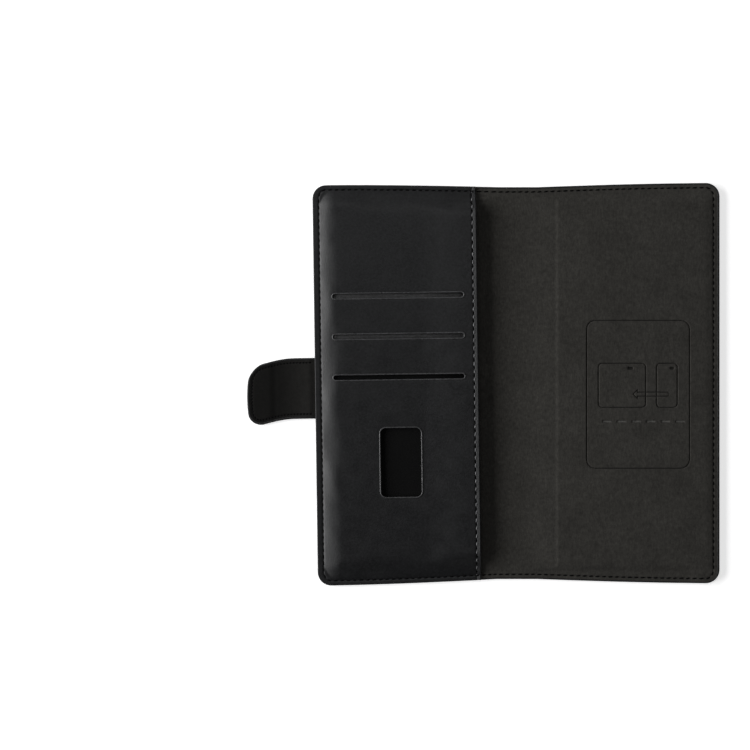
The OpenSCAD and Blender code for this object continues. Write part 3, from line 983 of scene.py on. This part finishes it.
def pocket_sheets():
    """Sheets behind the slots, each brought up towards the panel where its own slot shows it."""
    slot_y = [middle[1] for _, middle, _, _ in SLOTS]
    under = PANEL_TOP - PANEL_THICK - 0.06
    outline = lambda dx, dy: smoothstep((slope_distance(dx, dy) - 6.5) / 4)

    def backing(base, x, y, dx, dy):
        rise = smoothstep((y - slot_y[0] + 9) / 6) * outline(dx, dy) * smoothstep((-x - PANEL_X - 3) / 4)
        return base + (under - base) * rise + 0.07 * rise * wave(x, y, 9, 6)

    def divider_middle(base, x, y, dx, dy):
        rise = bump((y - slot_y[1]) / 4.0) * outline(dx, dy)
        return base + (under - base) * rise + 0.06 * rise * wave(x, y, 8, 7)

    def divider_bottom(base, x, y, dx, dy):
        return base - 0.03 + 0.02 * wave(x, y, 10, 8)

    rings = np.array([4.0, 4.4, 4.9, 5.4, CORNER])
    for node, height, start, material in (
        ("pocket_backing", backing, PANEL_X + 0.2, INNER_LEATHER),
        ("pocket_divider_middle", divider_middle, PANEL_X + 3.8, INNER_LEATHER),
        # nearly black sheet as painted shade, seen through the window
        ("pocket_divider_bottom", divider_bottom, PANEL_X + 3.8, POCKET_FABRIC_PAINTED_SHADE),
    ):
        low, high = mm_box(node)
        y = lines(-SPAN, min(high[1], SPAN), 2.0, (slot_y[1] - 3, slot_y[1] + 3, 0.5))
        plan = FRONT.plan(lines(start, CORE, 2.0), y, rings)
        keep = (lambda x, y: y < high[1] + 0.01) if high[1] < SPAN else None

        def sheet_top(*at):
            return np.minimum(height(high[2], *at), panel_under(*at) - 0.05)

        def sheet_under(*at):
            return sheet_top(*at) - 0.18

        piece = shell("sheet_" + node, plan, sheet_top, sheet_under, material, keep)
        riding(piece, "front_cover", node)

    strip = block("hem_filler", "flap_edge_strip", (0.8, 4), (0.25, 0.2), (0.02, 0.1), PANEL_LEATHER)
    riding(strip, "front_cover", "flap_edge_strip")


# ---------- seams ----------


def along(line, pitch, low, high, z, up, first=0.0):
    """Stitch places on the parts of a line whose distance from the spine's middle is between low and high.
    z is a height, or the height function of the layer that is sewn."""
    point, way = spaced(line, pitch, first)
    reach = np.abs(point[:, 0])
    kept = (reach > low) & (reach < high)
    point, way = point[kept], way[kept]
    return point, way, on_face(z, point) if callable(z) else z, up


def on_face(height, point):
    x, y = point.T
    return height(x, y, REACH - np.abs(x), half_height(x) - np.abs(y)) - 0.02


def seams():
    """The perimeter seam, on the outer face and on the lining or the panel's border."""
    outer_z, border = 0.26, FLANGE + PANEL_THICK - 0.2
    clear = 0.9  # distance from the panel's free edge to the nearest stitch
    for name, outline, is_front, nodes in (
        ("seam_thread_front", FRONT, True, ("front_perimeter_thread", "spine_thread")),
        ("seam_thread_back", BACK, False, ("back_perimeter_thread",)),
    ):
        line = outline.ring_line(SEAM, 0.0)
        half_pitch = SEAM_PITCH / 2
        rows = [along(line, SEAM_PITCH, 0, 200, outer_z, -1, half_pitch)]
        if is_front:
            rows.append(along(line, SEAM_PITCH, PANEL_X + clear, 200, border, 1, half_pitch))
            rows.append(along(line, SEAM_PITCH, 0, PANEL_X - clear, lining_top, 1, half_pitch))
        else:
            rows.append(along(line, SEAM_PITCH, 0, 200, lining_top, 1, half_pitch))
        piece = stitches(name, rows, THREAD)
        folding(piece, nodes)


def hem_seam():
    """The seam along the panel's free edge: stitches made pale as a painted highlight, with dark marks
    between them as painted shade in the needle holes.
    """
    reach = half_height(HEM_X) - 2.6
    y = np.arange(-reach, reach, 0.5)
    line = np.stack([np.full(len(y), -HEM_X), y], axis=1)
    point, way = spaced(line, HEM_PITCH)
    hem = [(point, way, on_face(panel_top, point), 1)]
    between = (point[1:] + point[:-1]) / 2 - [0.2, 0]
    # painted shade: dark thread marks between the stitches stand in for shadow in the needle holes
    holes = [(between, way[1:], on_face(panel_top, between), 1)]
    sewn = stitches("hem_thread", hem, HEM_THREAD_PAINTED_HIGHLIGHT, length=2.0, width=0.6, rise=0.4, slant=-0.12)
    sunk = stitches("hem_hole_painted_shade", holes, THREAD, length=1.7, width=0.85, rise=0.16, slant=0.3)
    for piece in (sewn, sunk):
        riding(piece, "front_cover", "flap_hem_thread")


# ---------- closing strap ----------

STRAP_RINGS = np.array(
    [0, 0.04, 0.12, 0.24, 0.4, 0.6, 0.8, 0.95, 1.0, 1.1, 1.3, 1.6, 1.9, 2.1, 2.3, 2.6, 3.0, 3.6, 4.4]
    + [STRAP_ROUND]
)
STRAP_SEAM = 2.1  # ring of the strap's seam
STRAP_PITCH = 1.45
STRAP_FOLD = 0.9  # height that the strap thins towards at its root


def strap_distance(dx, dy):
    return edge_distance(dx, dy, STRAP_ROUND)


def place_strap(points):
    """Thins the strap to its sewn-in end, bows its free end, and lays it down with the cover."""
    p = np.array(points, float)
    root = smoothstep((92.4 + p[:, 0]) / 3.2)
    p[:, 2] = STRAP_FOLD + 0.14 * root + (p[:, 2] - STRAP_FOLD) * (1 - 0.8 * root)
    share = smoothstep((-p[:, 0] - 105) / 14)
    p[:, 0] += 1.4 * share * ((p[:, 1] - STRAP_MID) / STRAP_HALF) ** 2
    crease = bump((p[:, 0] + STRAP_CREASE) / 2.2)
    p[:, 2] -= 0.14 * crease * smoothstep((p[:, 2] - 1.2) / 0.4)
    return settle(p)


def strap():
    leather_top = STRAP_LOW[2] + 0.72

    def leather_z(x, y, dx, dy):
        d = strap_distance(dx, dy)
        edge = STRAP_TOP - 0.03 - rounding(d, 0.45)
        rim = np.maximum(edge - rounding(STRAP_RIM - d, 0.15), leather_top)
        return np.where(d < STRAP_RIM - 0.01, rim, leather_top)

    def leather_under(x, y, dx, dy):
        d = strap_distance(dx, dy)
        return 0.04 + rounding(d, 0.5) + 0.12 * bump((d - STRAP_SEAM) / 0.7)

    def suede_z(x, y, dx, dy):
        d = strap_distance(dx, dy)
        face = STRAP_TOP - 0.07 + 0.03 * wave(x, y, 11, 9)
        return face - 0.22 * bump((d - STRAP_SEAM) / 0.7) - 0.08 * smoothstep((1.4 - d) / 0.4)

    def suede_under(x, y, dx, dy):
        return leather_top + 0.01 + 0 * x

    y = lines(-STRAP.span, STRAP.span, 0.9)
    inner_rings = from_ring(STRAP_RIM + 0.02, STRAP_RINGS)
    root_x = lines(85.5, STRAP_JOIN, 0.7)
    end_x = lines(STRAP_JOIN, STRAP.core, 0.7, (105.5, 110, 0.3))
    parts = (
        ("root", root_x, False, ("front_cover", "strap_neck"), (88.8, 93.4), "neck"),
        ("end", end_x, True, ("strap_neck", "strap_tip"), (105.2, 110.2), "tip"),
    )
    line = STRAP.ring_line(STRAP_SEAM, 86.0, 0.3)
    for part, x, closed, bodies, (start, end), node in parts:
        name = f"strap_{part}_"
        plan = STRAP.plan(x, y, STRAP_RINGS, closed)
        skin = shell(name + "leather", plan, leather_z, leather_under, OUTER_LEATHER, place=place_strap)
        plan = STRAP.plan(x, y, inner_rings, closed)
        inside = shell(name + "suede", plan, suede_z, suede_under, STRAP_SUEDE, place=place_strap)
        low, high = (90.6, STRAP_JOIN) if part == "root" else (STRAP_JOIN, 200)
        rows = [along(line, STRAP_PITCH, low, high, z, up) for z, up in ((STRAP_TOP - 0.26, 1), (0.22, -1))]
        size = {"length": 1.05, "width": 0.75, "rise": 0.24}
        sewn = stitches(name + "thread", rows, THREAD, place=place_strap, **size)
        for piece, layer, slot in (
            (skin, "leather", "outer_leather"),
            (inside, "lining", "strap_suede"),
            (sewn, "thread", "thread"),
        ):
            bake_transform(piece)
            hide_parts(f"strap_{node}_{layer}")
        if part == "root":
            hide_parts("strap_anchor")

    name, steps = "strap_magnet_bar", (0.7, 0.9)
    magnet = block(name, "strap_magnet", steps, (0, 0.25), (0.02, 0.1), PLATED, place_strap)
    riding(magnet, "strap_tip", "strap_magnet")


# ---------- CAD nodes that stay ----------


def kept_nodes():
    """Finishes of the CAD nodes that are used as they are, inside the back cover."""
    kept = {"back_board": BOARD, "dock_yoke_plate": STEEL, "catch_plate": STEEL, "dock_magnets": PLATED}
    for node, material in kept.items():
        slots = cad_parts[node].data.materials
        slots.clear()
        slots.append(material)


# ---------- studio ----------

FLOOR_GLOW = 0.6  # a backlit light table, so that the floor stays pale under soft light
WORLD_LIGHT = 0.045
SOFT_BOXES = (  # name, place and size in metres, power in watts
    ("left_box", (-1.3, 0.1, 0.5), (1.5, 0.7), 31),
    ("right_strip", (1.2, 0.1, 0.75), (0.2, 0.9), 1.2),
    ("back_box", (-0.1, 1.3, 0.6), (1.2, 0.5), 1.0),
    ("high_box", (-0.05, 0.5, 1.2), (1.0, 0.4), 1.7),
)


def camera():
    """Straight above the open wallet, with the top edge up in the picture."""
    data = bpy.data.cameras.new("camera")
    data.sensor_width = 36
    data.lens = 97.2
    data.clip_start, data.clip_end = 0.05, 20
    eye = add_object("camera", data)
    eye.location = (-0.0629, 0.0036, 0.9)
    bpy.context.scene.camera = eye


def soft_box(name, place, size, power):
    """Rectangular light that faces the origin."""
    data = bpy.data.lights.new(name, "AREA")
    data.shape = "RECTANGLE"
    data.size, data.size_y = size
    data.energy = power
    lamp = add_object(name, data)
    lamp.location = place
    lamp.rotation_mode = "QUATERNION"
    lamp.rotation_quaternion = (-lamp.location).to_track_quat("-Z", "Y")


def studio():
    world = bpy.data.worlds.new("studio")
    world.use_nodes = True
    background = world.node_tree.nodes["Background"]
    background.inputs["Color"].default_value = (0.97, 0.98, 1.0, 1)
    background.inputs["Strength"].default_value = WORLD_LIGHT
    bpy.context.scene.world = world
    for box in SOFT_BOXES:
        soft_box(*box)
    mesh = bpy.data.meshes.new("floor")
    half, z = 3.0, -0.0004
    corners = [(-half, -half, z), (half, -half, z), (half, half, z), (-half, half, z)]
    mesh.from_pydata(corners, [], [[0, 1, 2, 3]])
    paper = Nodes("paper", (0.93, 0.93, 0.93), 0.9, 0.1)
    paper.shader.inputs["Emission Color"].default_value = (1, 1, 1, 1)
    paper.shader.inputs["Emission Strength"].default_value = FLOOR_GLOW
    paper.tint(paper.vary(paper.noise(3, 2), 0.995, 1.005))
    mesh.materials.append(paper.material)
    add_object("floor", mesh)
    bpy.context.scene.view_settings.view_transform = "Standard"


camera()
studio()
outer_leather()
lining()
stiffeners()
card_panel()
pocket_sheets()
seams()
hem_seam()
strap()
kept_nodes()
